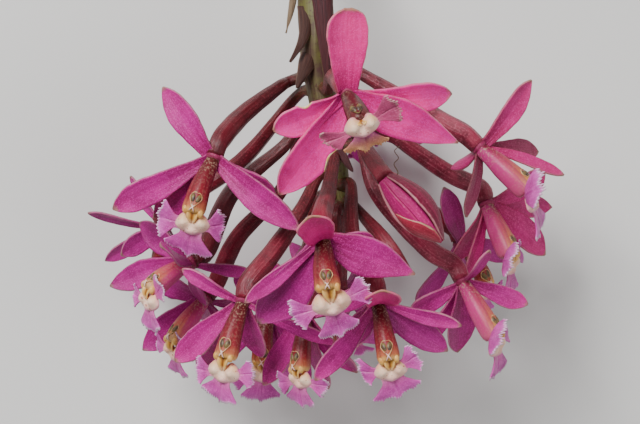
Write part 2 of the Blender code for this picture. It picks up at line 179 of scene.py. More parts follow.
class Skin:
    """A plant skin: one Principled material and short calls for the nodes that colour it."""

    def __init__(self, name, roughness, **sockets):
        self.made = bpy.data.materials.new(name)
        self.made.use_nodes = True
        self.tree = self.made.node_tree
        self.shader = self.tree.nodes["Principled BSDF"]
        self.shader.inputs["Roughness"].default_value = roughness
        for key, value in sockets.items():
            self.shader.inputs[key.replace("_", " ")].default_value = value
        self.uv = self.add("ShaderNodeUVMap").outputs[0]
        split = self.add("ShaderNodeSeparateXYZ")
        self.link(self.uv, split.inputs[0])
        self.u, self.t = split.outputs[0], split.outputs[1]
        self.spot = self.add("ShaderNodeTexCoord").outputs["Object"]

    def add(self, kind):
        return self.tree.nodes.new(kind)

    def link(self, a, b):
        self.tree.links.new(a, b)

    def math(self, kind, a, b=0.0, clamp=False):
        n = self.add("ShaderNodeMath")
        n.operation, n.use_clamp = kind, clamp
        for socket, value in zip(n.inputs, (a, b)):
            if isinstance(value, (int, float)):
                socket.default_value = value
            else:
                self.link(value, socket)
        return n.outputs[0]

    def off_middle(self, where):
        """How far a spot is from the middle of u or t, 0 to 0.5."""
        return self.math("ABSOLUTE", self.math("SUBTRACT", where, 0.5))

    def ramp(self, fac, stops):
        n = self.add("ShaderNodeValToRGB")
        marks = n.color_ramp.elements
        while len(marks) < len(stops):
            marks.new(0.5)
        for mark, (place, colour) in zip(marks, stops):
            mark.position = place
            mark.color = (*colour, 1) if isinstance(colour, tuple) else (colour, colour, colour, 1)
        self.link(fac, n.inputs[0])
        return n.outputs[0]

    def stretched(self, u_scale, t_scale):
        n = self.add("ShaderNodeMapping")
        n.inputs["Scale"].default_value = (u_scale, t_scale, 1)
        self.link(self.uv, n.inputs[0])
        return n.outputs[0]

    def noise(self, where, scale, detail=3.0, rough=0.55):
        n = self.add("ShaderNodeTexNoise")
        n.inputs["Scale"].default_value, n.inputs["Detail"].default_value = scale, detail
        n.inputs["Roughness"].default_value = rough
        self.link(where, n.inputs["Vector"])
        return n.outputs["Fac"]

    def cells(self, scale):
        n = self.add("ShaderNodeTexVoronoi")
        n.inputs["Scale"].default_value = scale
        self.link(self.spot, n.inputs["Vector"])
        return n

    def mix(self, fac, a, b, kind="MIX"):
        n = self.add("ShaderNodeMix")
        n.data_type, n.blend_type = "RGBA", kind
        for socket, value in ((n.inputs[0], fac), (n.inputs[6], a), (n.inputs[7], b)):
            if isinstance(value, tuple):
                socket.default_value = (*value, 1)
            elif isinstance(value, (int, float)):
                socket.default_value = value
            else:
                self.link(value, socket)
        return n.outputs[2]

    def tinted(self, by, first, last, most, under, over):
        """One colour laid over another, none up to first and most strongly where by reaches last."""
        return self.mix(self.ramp(by, [(first, 0.0), (last, most)]), under, over)

    def finish(self, colour, height=None, bump=0.3, depth=0.0002, rough=None):
        self.link(colour, self.shader.inputs["Base Color"])
        if height is not None:
            n = self.add("ShaderNodeBump")
            n.inputs["Strength"].default_value, n.inputs["Distance"].default_value = bump, depth
            self.link(height, n.inputs["Height"])
            self.link(n.outputs[0], self.shader.inputs["Normal"])
        if rough is not None:
            self.link(rough, self.shader.inputs["Roughness"])
        return self.made


stalk_skin = Skin("stalk_skin", 0.5, Specular_IOR_Level=0.28)
blotch = stalk_skin.ramp(stalk_skin.noise(stalk_skin.spot, 160.0, 4.0), [(0.40, 0.0), (0.58, 1.0)])
fibre = stalk_skin.noise(stalk_skin.stretched(34.0, 5.0), 1.0, 3.0)
stalk_colour = stalk_skin.mix(blotch, (0.105, 0.098, 0.022), (0.055, 0.022, 0.018))
fibre_marks = stalk_skin.ramp(fibre, [(0.45, 0.0), (0.7, 0.4)])
stalk_colour = stalk_skin.mix(fibre_marks, stalk_colour, (0.20, 0.17, 0.075))
freckles = stalk_skin.ramp(stalk_skin.noise(stalk_skin.spot, 1500.0, 3.0), [(0.56, 0.0), (0.66, 0.75)])
stalk_colour = stalk_skin.mix(freckles, stalk_colour, (0.06, 0.014, 0.016))
pale = stalk_skin.ramp(stalk_skin.noise(stalk_skin.spot, 110.0, 2.0), [(0.62, 0.0), (0.74, 0.6)])
stalk_colour = stalk_skin.mix(pale, stalk_colour, (0.42, 0.34, 0.24))
STALK_SKIN = stalk_skin.finish(stalk_colour, fibre, 0.35, 0.0003)

STALK_LINE = [
    (-3.0, 88.0, -31.4), (-3.0, 74.0, -22.0), (-2.0, 58.0, -9.0), (-1.0, 44.0, -1.5), (-0.6, 36.0, 0.0),
    (-0.4, 29.4, 0.0),
]
STALK_RADII = ((0.0, 3.0), (0.5, 3.1), (0.62, 3.6), (0.76, 3.1), (0.9, 2.3), (1.0, 1.3))
rachis_half = RACHIS_TOP * 0.5 + RACHIS_END * 0.5
stalk_path = even_path([at(p) for p in STALK_LINE] + [rachis_half, RACHIS_END], 90)


def stalk_radius(a, t):
    return eased(t, STALK_RADII) * (1 + 0.02 * math.sin(9 * a + 2 * t) + 0.03 * math.sin(31 * t + a))


stalk = dress(grown_tube("stalk", stalk_path, stalk_radius, 28), STALK_SKIN)

# Sheaths and bracts: thin papery leaves that wrap the stalk and taper to a point, dark maroon-brown with
# paler edges; the narrowest one, at the left, has dried to beige.
# Each: root and tip (x, y, z), width, how far its middle stands off, kind. The first two lean to the left.
SHEATHS = [
    ((-4.9, 46.0, -1.0), (-6.8, 35.8, 2.5), 1.5, 0.2, "dry"),
    ((-3.1, 41.0, 2.0), (-6.0, 30.0, 5.0), 2.8, 1.5, "brown"),
    ((-0.1, 50.0, 2.0), (1.7, 24.6, 5.2), 4.8, 1.6, "maroon"),
    ((-1.9, 31.6, 2.8), (-4.6, 24.8, 5.8), 3.6, 0.6, "brown"),
    ((3.0, 13.6, 4.0), (6.6, 8.0, 6.5), 2.2, 0.5, "maroon"),
]
LEANING = 2
SHEATH_WIDTHS = ((0.0, 1.0), (0.3, 0.84), (0.7, 0.44), (0.92, 0.18), (1.0, 0.04))


def arch(t):
    """A rise and fall: 0 at both ends, 1 in the middle."""
    return math.sin(math.pi * t)


def sheath_skin(name, low, high, pale):
    skin = Skin(name, 0.5, Specular_IOR_Level=0.22)
    lines = skin.noise(skin.stretched(26.0, 1.6), 1.0, 4.0, 0.65)
    colour = skin.tinted(lines, 0.38, 0.66, 1.0, low, high)
    edge = skin.off_middle(skin.u)
    colour = skin.tinted(edge, 0.41, 0.5, 0.8, colour, pale)
    return skin.finish(colour, lines, 0.6, 0.0004)


SHEATH_SKINS = {
    "dry": sheath_skin("sheath_dry", (0.14, 0.085, 0.05), (0.30, 0.22, 0.14), (0.42, 0.33, 0.22)),
    "brown": sheath_skin("sheath_brown", (0.034, 0.012, 0.011), (0.095, 0.042, 0.030), (0.26, 0.16, 0.11)),
    "maroon": sheath_skin("sheath_maroon", (0.022, 0.004, 0.007), (0.11, 0.026, 0.030), (0.13, 0.05, 0.045)),
}
stem_parts = [stalk]
for number, (root, tip, width, stand, kind) in enumerate(SHEATHS):
    low, high = at(root), at(tip)
    up = across(high - low, Vector((0, 0, 1)))
    side = (high - low).cross(up).normalized()

    def sheath_place(u, t):
        half = width / 2 * eased(t, SHEATH_WIDTHS)
        off = up * 0.6 - side * (0.9 if number < LEANING else 0.0)
        middle = low.lerp(high, t) + off * (stand * arch(t))
        wave = 0.14 * math.sin(9 * t + number) * abs(u)
        return middle + side * (u * half) - up * (half * 0.55 * u * u - wave)

    blade = thick_blade("sheath", 12, 34, sheath_place, 0.45)
    stem_parts.append(dress(blade, SHEATH_SKINS[kind], SHEATH_SKINS[kind]))
stem = joined("flower_stalk", stem_parts)
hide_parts("stem")
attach(stem, "root")

# Pedicels: one long fleshy stalk for each bloom, which is also its ovary. They leave the rachis in a
# spiral, ribbed lengthwise, dark wine red and glossy, olive at the foot, with small pale scars.
# Each: neck (x, y, z), throat (x, y, z), foot (share down the rachis, angle round it), places it passes.
BLOOMS = {
    "01": ((5.4, 23.4, 27), (8.2, 17.6, 34.5), (0.16, 10), [(2.5, 27.0, 12)]),
    "02": ((-21.2, 10.8, 14), (-25.4, -0.2, 17.5), (0.05, -88), [(-8.4, 24.8, 3), (-15.2, 19.6, 7.5)]),
    "03": ((0.6, -5.6, 28), (1.6, -15.6, 32), (0.60, 0), [(1.6, 4.0, 14)]),
    "04": ((11.6, -18.2, 20), (13.8, -29.8, 24), (0.80, 25), [(6.4, -5.0, 12)]),
    "05": ((-15.4, -18.0, 14), (-18.8, -29.2, 17), (0.70, -45), [(-3.6, 0.6, 7), (-9.4, -8.0, 10.5)]),
    "06": ((-26.0, -10.0, 5), (-34.0, -15.8, 9), (0.30, -70), [(-7.0, 13.4, 1.5), (-17.6, 4.0, 3)]),
    "07": ((-23.0, -17.4, -9), (-29.2, -26.2, -5), (0.40, -110), [(-7.6, 4.6, -4), (-16.4, -5.0, -7)]),
    "08": ((-10.4, -20.4, -5), (-11.6, -30.2, -4), (0.85, -90), [(-2.5, -8.0, -2)]),
    "09": ((-2.8, -20.8, 7), (-4.0, -31.6, 10), (0.95, -20), [(2.6, -8.0, 4)]),
    "10": ((32.0, 12.8, 6), (41.4, 4.2, 9), (0.05, 85),
           [(7.6, 28.0, 1), (16.8, 22.6, 2.6), (25.6, 17.4, 4.4)]),
    "11": ((33.4, 1.4, -9), (37.8, -8.6, -4), (0.35, 100), [(13.4, 16.0, -4.4), (25.0, 8.2, -6.8)]),
    "12": ((28.6, -14.0, 6), (34.8, -25.0, 10), (0.55, 80), [(11.4, 3.6, 4.4), (21.0, -6.8, 5.6)]),
    "13": ((-31.0, -3.0, -15), (-32.0, -12.6, -20), (0.15, -120), [(-16.0, 10.0, -10)]),
    "14": ((28.0, -6.0, -20), (33.0, -14.5, -21), (0.45, 120), [(16.0, 4.0, -16)]),
    "15": ((7.4, 18.6, -19), (7.6, 16.4, -28.4), (0.20, 170), [(2.6, 22.0, -11)]),
    "16": ((4.0, -16.0, -18), (5.0, -26.0, -19), (0.75, 170), [(4.0, -4.0, -12)]),
}


def bloom_line(number):
    """Where a bloom's neck and throat are, and the direction from one to the other."""
    neck, throat = at(BLOOMS[number][0]), at(BLOOMS[number][1])
    return neck, throat, (throat - neck).normalized()


def rachis_point(share, angle, out):
    along = (RACHIS_END - RACHIS_TOP).normalized()
    right = across(along, Vector((1, 0, 0)))
    turn = math.radians(angle)
    radius = RACHIS_R0 + (RACHIS_R1 - RACHIS_R0) * share + out
    spoke = Vector((0, 0, 1)) * math.cos(turn) + right * math.sin(turn)
    return RACHIS_TOP.lerp(RACHIS_END, share) + spoke * radius


def pedicel_skin(name, stops, highlight_tint):
    skin = Skin(name, 0.33, Specular_IOR_Level=0.38)
    ribs = skin.noise(skin.stretched(24.0, 2.0), 1.0, 4.0, 0.65)
    patch = skin.noise(skin.spot, 240.0, 3.0)
    along = skin.ramp(skin.t, [(0.0, (0.065, 0.048, 0.014))] + stops)
    # Lighter streaks on the ribs: painted highlights.
    wine = skin.tinted(ribs, 0.48, 0.74, 0.6, along, highlight_tint)
    wine = skin.mix(skin.ramp(patch, [(0.34, 0.7), (0.55, 0.0)]), wine, (0.05, 0.004, 0.008))
    # Fine pale specks: partly the skin's own grain, partly painted highlight.
    grain = skin.ramp(skin.noise(skin.spot, 2400.0, 2.0), [(0.55, 0.0), (0.66, 0.35)])
    wine = skin.mix(grain, wine, tuple(c * 1.25 + 0.02 for c in highlight_tint))
    # Thin light lines along the pedicel: painted highlights.
    highlight_threads = skin.noise(skin.stretched(60.0, 3.0), 1.0, 2.0)
    highlight_threads = skin.ramp(highlight_threads, [(0.62, 0.0), (0.72, 0.5)])
    wine = skin.mix(highlight_threads, wine, tuple(c * 1.3 + 0.08 for c in highlight_tint))
    scars = skin.ramp(skin.noise(skin.stretched(34.0, 20.0), 1.7, 2.0), [(0.69, 0.0), (0.75, 0.55)])
    return skin.finish(skin.mix(scars, wine, (0.50, 0.32, 0.28)), ribs, 0.6, 0.0006)


PEDICEL_SKIN = pedicel_skin(
    "pedicel_wine",
    [(0.14, (0.075, 0.007, 0.007)), (0.5, (0.13, 0.005, 0.014)), (0.9, (0.20, 0.007, 0.026))],
    (0.32, 0.026, 0.05))
SHADED_PEDICEL = pedicel_skin(
    "pedicel_painted_shade",
    [(0.14, (0.060, 0.006, 0.006)), (0.5, (0.078, 0.004, 0.008)), (0.9, (0.13, 0.005, 0.014))],
    (0.21, 0.018, 0.03))
LIT_PINK_PEDICEL = pedicel_skin(
    "pedicel_pink_painted_light",
    [(0.14, (0.10, 0.010, 0.014)), (0.5, (0.21, 0.012, 0.036)), (0.9, (0.26, 0.014, 0.046))],
    (0.46, 0.09, 0.14))
# By bloom: the rest are wine red. The darker copy is painted shade on the pedicels of 02 and 06, and the
# lighter, pinker one is painted light on those of 10 to 12.
PEDICEL_SKINS = {2: SHADED_PEDICEL, 6: SHADED_PEDICEL, 10: LIT_PINK_PEDICEL, 11: LIT_PINK_PEDICEL, 12: LIT_PINK_PEDICEL}


def grow_pedicel(name, node, points, foot, top, seed):
    path = even_path(points, 46)

    def radius(a, t):
        body = eased(t, ((0.0, foot * 1.5), (0.05, foot), (0.5, (foot + top) / 2 + 0.12), (0.85, top),
                         (1.0, top * 0.86)))
        return body * (1 + 0.045 * math.cos(6 * a + 1.5 * t + seed) + 0.012 * math.sin(40 * t + 2 * a + seed))

    made = dress(grown_tube(name, path, radius, 24), PEDICEL_SKINS.get(seed, PEDICEL_SKIN))
    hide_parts(node)
    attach(made, "root")
    return made


PEDICEL_FOOT, PEDICEL_TOP = 1.08, 1.98
for number, (_, _, foot, way) in BLOOMS.items():
    neck, _, axis = bloom_line(number)
    behind = neck - axis * 0.5
    points = [rachis_point(*foot, -0.5), rachis_point(*foot, 3.5) + Vector((0, -0.8, 0))]
    points += [at(p) for p in way] + [behind - axis * 3.6, behind]
    grow_pedicel("pedicel_of_" + number, "pedicel_" + number, points, PEDICEL_FOOT, PEDICEL_TOP, int(number))

# The spent pedicel: its bloom has fallen, and its tube ends closed where the bloom was.
spent_way = [rachis_point(0.90, 60, -0.3), at((9.2, -1.4, 5)), at((12.8, -5.6, 10)), at((16.8, -11.6, 12))]
grow_pedicel("pedicel_bare", "pedicel_spent", spent_way, 1.0, 1.6, 5)

# Petals and sepals: five narrow, fleshy blades round a small receptacle, magenta in front with tiny
# painted glints for their sparkle, and dull wine-pink behind, with a thin pale edge and a browned tip.
# Each: tip (x, y, z), width, bow, outline.
TEPALS = {
    "01": [((5.6, 40.8, 33), 7.2, 0.06, "round"), ((-9.4, 16.4, 28), 5.6, 0.08, "petal"),
           ((26.4, 23.6, 24), 5.6, 0.10, "petal"), ((-8.2, 3.6, 22), 7.4, 0.10, "sepal"),
           ((27.6, 13.8, 22), 7.2, 0.10, "point")],
    "02": [((-31.4, 25.0, 14), 5.0, 0.06, "sepal"), ((-41.4, 0.6, 10), 5.4, 0.10, "petal"),
           ((-4.0, -3.6, 17), 5.4, 0.08, "sepal"), ((-33.0, -1.0, 7), 6.0, 0.10, "sepal"),
           ((-9.0, 2.2, 9), 5.6, 0.06, "petal")],
    "03": [((-2.0, -0.9, 40), 6.2, 0.10, "round"), ((-15.0, -18.0, 25), 3.0, 0.08, "petal"),
           ((-12.2, -22.0, 20), 8.0, 0.10, "sepal"), ((19.0, -12.4, 26), 7.2, 0.10, "point"),
           ((11.0, -6.0, 24), 4.0, 0.06, "petal")],
    "04": [((12.4, -15.6, 33.4), 6.2, 0.08, "round"), ((28.2, -22.6, 18), 2.8, 0.06, "petal"),
           ((25.4, -27.6, 14), 5.4, 0.06, "sepal"), ((-1.0, -33.6, 17), 3.9, 0.08, "petal"),
           ((4.0, -27.0, 12), 5.0, 0.06, "sepal")],
    "05": [((-27.6, -11.4, 14), 2.8, 0.06, "petal"), ((-28.8, -29.8, 8), 5.0, 0.08, "petal"),
           ((3.4, -26.4, 15), 2.6, 0.08, "petal"), ((-24.6, -31.0, 3), 5.0, 0.06, "sepal"),
           ((-11.6, -29.0, 7), 4.4, 0.06, "sepal")],
    "06": [((-41.8, -14.8, -1), 5.0, 0.08, "sepal"), ((-31.4, -6.4, 17), 5.0, 0.06, "sepal"),
           ((-13.5, -12.2, 3), 2.4, 0.06, "petal"), ((-36.0, -2.0, 1), 5.0, 0.06, "sepal"),
           ((-23.0, -18.5, -4), 4.0, 0.06, "petal")],
    "07": [((-35.4, -27.6, -13), 5.6, 0.08, "sepal"), ((-20.4, -24.0, -20), 4.4, 0.06, "sepal"),
           ((-15.0, -26.0, -12), 3.6, 0.06, "petal"), ((-12.5, -18.0, -15), 3.0, 0.06, "petal"),
           ((-34.0, -12.0, -10), 5.0, 0.06, "sepal")],
    "08": [((-22.0, -31.0, -8), 4.4, 0.0, "sepal"), ((-2.0, -34.0, -12), 4.4, 0.06, "sepal"),
           ((-16.5, -11.0, -3), 4.0, 0.06, "petal"), ((-0.5, -14.5, -8), 4.0, 0.06, "petal"),
           ((-6.6, -36.0, -10), 2.4, 0.06, "petal")],
    "09": [((-11.2, -34.6, 0), 4.8, 0.0, "sepal"), ((7.5, -32.0, 0), 4.6, 0.06, "sepal"),
           ((11.0, -15.5, 3), 4.0, 0.06, "petal"), ((-9.5, -10.0, 3), 4.0, 0.06, "petal"),
           ((2.0, -35.0, -4), 4.0, 0.06, "sepal")],
    "10": [((42.2, 26.4, 3), 4.4, 0.08, "sepal"), ((43.6, 12.0, -4), 4.0, 0.08, "petal"),
           ((29.0, -1.0, 3), 3.6, 0.08, "sepal"), ((48.8, 7.4, 1), 2.6, 0.06, "petal"),
           ((26.0, 9.0, -1), 4.0, 0.06, "sepal")],
    "11": [((45.0, -8.6, -13.5), 5.8, 0.08, "sepal"), ((26.5, -10.0, -14), 5.0, 0.08, "sepal"),
           ((29.0, -14.0, -6), 3.0, 0.06, "petal"), ((45.0, 8.0, -14), 5.0, 0.06, "petal"),
           ((46.0, 1.0, -20), 4.6, 0.06, "sepal")],
    "12": [((41.4, -18.4, 3), 3.8, 0.06, "petal"), ((33.8, -7.6, 15), 2.8, 0.06, "petal"),
           ((18.0, -20.0, 5), 4.0, 0.06, "petal"), ((27.4, -28.0, -3), 6.0, 0.06, "sepal"),
           ((20.5, -27.0, 1), 3.4, 0.06, "sepal")],
    "13": [((-46.4, 0.0, -11), 2.6, 0.06, "petal"), ((-39.8, -8.6, -14), 4.4, 0.06, "sepal"),
           ((-37.8, 7.2, -19), 3.0, 0.06, "petal"), ((-27.0, -7.0, -34), 5.0, 0.04, "sepal"),
           ((-43.0, -9.8, -22), 3.4, 0.06, "sepal")],
    "14": [((24.6, 5.0, -11), 4.6, 0.06, "sepal"), ((36.0, 3.0, -19), 4.4, 0.06, "petal"),
           ((30.0, -9.0, -34), 5.0, 0.04, "sepal"), ((19.0, -18.0, -24), 4.4, 0.06, "petal"),
           ((39.5, -9.0, -28), 4.4, 0.06, "sepal")],
    "15": [((9.5, 9.0, -21), 4.4, 0.06, "sepal"), ((-5.4, 17.2, -18), 4.0, 0.06, "petal"),
           ((21.6, 22.4, -17), 4.0, 0.06, "petal"), ((-4.6, 8.0, -22), 4.4, 0.06, "sepal"),
           ((20.6, 14.0, -20), 4.4, 0.06, "sepal")],
    "16": [((-9.0, -20.0, -20), 4.6, 0.06, "sepal"), ((3.0, -22.0, -34), 5.0, 0.04, "sepal"),
           ((16.0, -24.0, -18), 4.6, 0.06, "petal"), ((12.0, -6.0, -26), 4.6, 0.06, "petal"),
           ((-6.0, -6.0, -26), 4.6, 0.06, "sepal")],
}
FACING = {
    "01": (0.2, -0.4, 0.9), "02": (-0.15, -0.3, 0.92), "03": (0.05, -0.3, 0.95), "04": (0.05, -0.3, 0.95),
    "05": (-0.4, -0.15, 0.9), "06": (-0.65, -0.1, 0.75), "07": (-0.5, -0.4, 0.75), "08": (0.0, -0.3, 0.95),
    "09": (-0.6, -0.2, 0.7), "10": (0.7, 0.2, 0.65), "11": (0.6, -0.1, 0.75), "12": (0.5, -0.2, 0.8),
    "13": (-0.4, -0.5, 0.5), "14": (0.5, -0.3, 0.6), "15": (0.0, -0.3, -0.9), "16": (0.1, -0.8, -0.5),
}
OUTLINES = {
    "sepal": ((0.0, 0.46), (0.12, 0.56), (0.30, 0.81), (0.48, 0.98), (0.60, 1.0), (0.76, 0.87), (0.89, 0.56),
              (0.97, 0.21), (1.0, 0.04)),
    "point": ((0.0, 0.44), (0.14, 0.66), (0.30, 0.94), (0.44, 1.0), (0.60, 0.88), (0.76, 0.60), (0.90, 0.28),
              (1.0, 0.04)),
    "petal": ((0.0, 0.36), (0.15, 0.46), (0.35, 0.72), (0.55, 0.95), (0.68, 1.0), (0.82, 0.88), (0.93, 0.52),
              (0.98, 0.22), (1.0, 0.05)),
    "round": ((0.0, 0.46), (0.18, 0.62), (0.42, 0.84), (0.62, 0.96), (0.76, 1.0), (0.88, 0.90), (0.96, 0.60),
              (1.0, 0.16)),
}


def tepal_skin(name, shades, vein, edge_colour, tip_colour, sparkle_glint):
    """Shades run from the blade's base to its tip."""
    skin = Skin(name, 0.42, Specular_IOR_Level=0.28)
    veins = skin.noise(skin.stretched(15.0, 0.9), 1.0, 3.0, 0.6)
    cloud = skin.noise(skin.spot, 300.0, 3.0)
    # Darkest at the blade's base: partly its own deeper wine tone, partly painted shade near the receptacle.
    colour = skin.ramp(skin.t, list(zip((0.0, 0.14, 0.5, 0.95), shades)))
    colour = skin.tinted(veins, 0.40, 0.66, 0.55, colour, vein)
    cloud = skin.ramp(cloud, [(0.42, 0.0), (0.70, 0.45)])
    colour = skin.mix(cloud, colour, tuple(c * 0.6 for c in shades[1]))
    # Lighter specks on single cells: painted glints, the sparkle of light on the blade's cells.
    cell = skin.cells(6200.0)
    colour = skin.mix(skin.ramp(cell.outputs["Color"], [(0.60, 0.0), (0.80, sparkle_glint)]), colour,
                      tuple(min(0.95, c * 1.15 + 0.04) for c in vein))
    edge = skin.off_middle(skin.u)
    worn = skin.noise(skin.spot, 900.0, 3.0)
    ragged = skin.math("ADD", edge, skin.math("MULTIPLY", skin.math("SUBTRACT", worn, 0.5), 0.05))
    ragged = skin.ramp(ragged, [(0.482, 0.0), (0.505, 0.6)])
    rim = skin.math("MULTIPLY", ragged, skin.ramp(skin.t, [(0.2, 0.25), (0.7, 1.0)]))
    colour = skin.mix(rim, colour, edge_colour)
    tip = skin.math("ADD", skin.t, skin.math("MULTIPLY", skin.math("SUBTRACT", worn, 0.5), 0.12))
    colour = skin.tinted(tip, 0.945, 0.99, 0.8, colour, tip_colour)
    grains = skin.math("MULTIPLY", cell.outputs["Distance"], 0.5)
    height = skin.math("ADD", skin.math("MULTIPLY", veins, 0.9), grains)
    return skin.finish(colour, height, 0.4, 0.00025)


TEPAL_FRONTS = {
    "pink": tepal_skin(
        "tepal_pink", [(0.26, 0.006, 0.05), (0.54, 0.008, 0.13), (0.82, 0.010, 0.235),
                       (0.74, 0.022, 0.20)],
        (0.92, 0.030, 0.33), (0.60, 0.28, 0.24), (0.34, 0.20, 0.10), 0.45),
    "magenta": tepal_skin(
        "tepal_magenta", [(0.20, 0.005, 0.05), (0.28, 0.005, 0.09), (0.45, 0.007, 0.21),
                          (0.47, 0.018, 0.20)],
        (0.65, 0.024, 0.34), (0.56, 0.28, 0.28), (0.32, 0.19, 0.11), 0.45),
    "hot": tepal_skin(
        "tepal_hot", [(0.26, 0.006, 0.05), (0.60, 0.008, 0.15), (0.92, 0.011, 0.29),
                      (0.84, 0.024, 0.26)],
        (0.95, 0.034, 0.42), (0.60, 0.28, 0.26), (0.34, 0.20, 0.10), 0.45),
    "wine": tepal_skin(
        "tepal_wine", [(0.16, 0.005, 0.03), (0.34, 0.006, 0.07), (0.52, 0.012, 0.165),
                       (0.50, 0.024, 0.15)],
        (0.64, 0.036, 0.26), (0.46, 0.24, 0.20), (0.30, 0.18, 0.10), 0.45),
    "plum": tepal_skin(
        "tepal_plum", [(0.16, 0.005, 0.05), (0.28, 0.006, 0.12), (0.40, 0.008, 0.20),
                       (0.38, 0.018, 0.18)],
        (0.56, 0.026, 0.32), (0.40, 0.21, 0.20), (0.24, 0.15, 0.10), 0.4),
}
TEPAL_BACK = tepal_skin(
    "tepal_back", [(0.14, 0.006, 0.02), (0.20, 0.008, 0.04), (0.27, 0.014, 0.08),
                   (0.26, 0.03, 0.075)],
    (0.40, 0.05, 0.14), (0.42, 0.26, 0.22), (0.26, 0.17, 0.10), 0.4)
# By bloom: the rest are plum. Then single blades, by bloom and place in its list, front and back.
SHADES = {
    "01": "hot", "02": "magenta", "03": "magenta", "04": "magenta", "05": "magenta", "09": "magenta",
    "10": "wine", "11": "wine", "12": "magenta",
}
PINK_TONE_AND_LIT_BLADE, PLUM_SHADED_BLADE = (TEPAL_FRONTS["pink"], TEPAL_BACK), (TEPAL_FRONTS["plum"], TEPAL_BACK)
OTHER_SKINS = {
    # Pink on the top bloom's dorsal is its own tone. Pink on the hooded dorsals of 03 and 04 is painted
    # light. Plum on the left sepal of 03 and the lower right sepal of 04 is painted shade.
    ("01", 0): PINK_TONE_AND_LIT_BLADE, ("03", 0): PINK_TONE_AND_LIT_BLADE, ("04", 0): PINK_TONE_AND_LIT_BLADE,
    ("03", 2): PLUM_SHADED_BLADE, ("04", 2): PLUM_SHADED_BLADE,
    ("10", 1): (TEPAL_BACK, TEPAL_BACK), ("10", 2): (TEPAL_BACK, TEPAL_FRONTS["wine"]),
}
healed = Skin("healed_cream", 0.5)
healed_grain = healed.ramp(healed.noise(healed.spot, 1200.0, 2.0), [(0.4, 0.0), (0.6, 1.0)])
HEALED_SKIN = healed.finish(healed.mix(healed_grain, (0.80, 0.52, 0.16), (0.90, 0.74, 0.44)))

# Old notches in two blades of the top bloom: which margin, from where to where along it, how deep.
NOTCHES = {("01", 3): (-1, 0.36, 0.62, 0.26), ("01", 1): (1, 0.42, 0.60, 0.30)}


def notched(place, hand, first, last, depth):
    def worn(u, t):
        bite = math.sin(math.pi * (t - first) / (last - first)) if first < t < last else 0.0
        return place(u * (1 - depth * bite) if u * hand > 0 else u, t)

    return worn


def tepal_place(neck, axis, face, tip, width, bow, outline, rng):
    start = neck + across(axis, tip - neck) * 0.55
    chord = tip - start
    up = across(chord, face)
    side = chord.cross(up).normalized()
    cup, lean, phase = 0.14 + rng.uniform(0, 0.16), rng.uniform(-0.07, 0.07), rng.uniform(0, 6)
    ripple, hook = rng.uniform(0.10, 0.24), rng.uniform(-0.2, 0.7)

    def place(u, t):
        half = width / 2 * eased(t, OUTLINES[outline])
        half *= (1 + 0.03 * math.sin(11 * t + phase + (2 if u > 0 else 0))
                 + 0.012 * math.sin(37 * t + 3 * phase * u))
        middle = start + chord * t + up * (bow * chord.length * 4 * t * (1 - t) ** 1.5)
        middle += side * (lean * width * arch(t)) + up * (hook * max(0.0, (t - 0.8) / 0.2) ** 2)
        groove = -0.10 * math.exp(-((u / 0.14) ** 2)) * math.sin(math.pi * min(1, t * 1.1))
        wave = ripple * u * abs(u) * math.sin(5.5 * t + phase) * arch(t)
        return middle + side * (u * half) + up * (cup * half * u * u + wave + groove)

    return place


BLADE_THICK, BLADE_WIDER, MARGIN_STEPS = 0.42, 1.06, 14
for number, tips in TEPALS.items():
    rng = random.Random(100 + int(number))
    neck, _, axis = bloom_line(number)
    face = Vector(FACING[number]).normalized()
    front = TEPAL_FRONTS[SHADES.get(number, "plum")]
    hub = [neck + axis * (0.25 * s) for s in range(-3, 3)]
    notch_parts = []
    receptacle = grown_tube("receptacle", hub, lambda a, s: 1.25 + 0.45 * arch(s), 20)
    parts = [dress(receptacle, TEPAL_BACK, front)]
    for which, (tip, width, bow, outline) in enumerate(tips):
        place = tepal_place(neck, axis, face, at(tip), width * BLADE_WIDER, bow, outline, rng)
        if (number, which) in NOTCHES:
            hand, first, last, depth = NOTCHES[number, which]
            place = notched(place, hand, first, last, depth)
            margin = [place(hand, first + (last - first) * s / MARGIN_STEPS) for s in range(MARGIN_STEPS + 1)]
            healing = grown_tube("healed_margin", margin, lambda a, t: 0.08 + 0.16 * arch(t), 10)
            notch_parts.append(dress(healing, HEALED_SKIN))
        blade = thick_blade("tepal", 14, 36, place, BLADE_THICK)
        skins = OTHER_SKINS.get((number, which), (front, TEPAL_BACK))
        parts.append(dress(blade, *skins))
    whorl = joined("tepals_of_" + number, parts + notch_parts)
    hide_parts("tepals_" + number)
    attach(whorl, "root")

# Column and lip: the column is a smooth fleshy tube, wine red at the neck and orange-yellow at its mouth,
# with an olive anther in an amber-rimmed pocket. The lip spreads at its mouth: two fringed fans at the
# sides, a broader fringed lobe below and a cream, heart-shaped callus in the middle.
# Each: which way is down along the lip, its size.
LIPS = {
    "01": ((0.24, -0.97, -0.4), 0.97), "02": ((-0.08, -0.99, -0.3), 1.0), "03": ((0.25, -0.97, -0.3), 1.1),
    "04": ((0.16, -0.97, -0.3), 0.92), "05": ((-0.16, -0.98, -0.2), 1.0), "06": ((-0.22, -0.97, -0.1), 0.9),
    "07": ((-0.25, -0.95, -0.2), 0.92), "08": ((0.0, -0.98, -0.2), 0.95), "09": ((-0.1, -0.98, -0.1), 0.85),
    "10": ((0.5, -0.82, -0.3), 1.0), "11": ((0.3, -0.93, -0.2), 0.95), "12": ((0.4, -0.9, -0.2), 0.88),
    "13": ((-0.1, -0.9, -0.3), 0.7), "14": ((0.3, -0.9, 0.0), 0.8), "15": ((0.0, -0.9, 0.3), 0.7),
    "16": ((0.9, 0.1, -0.2), 0.85),
}
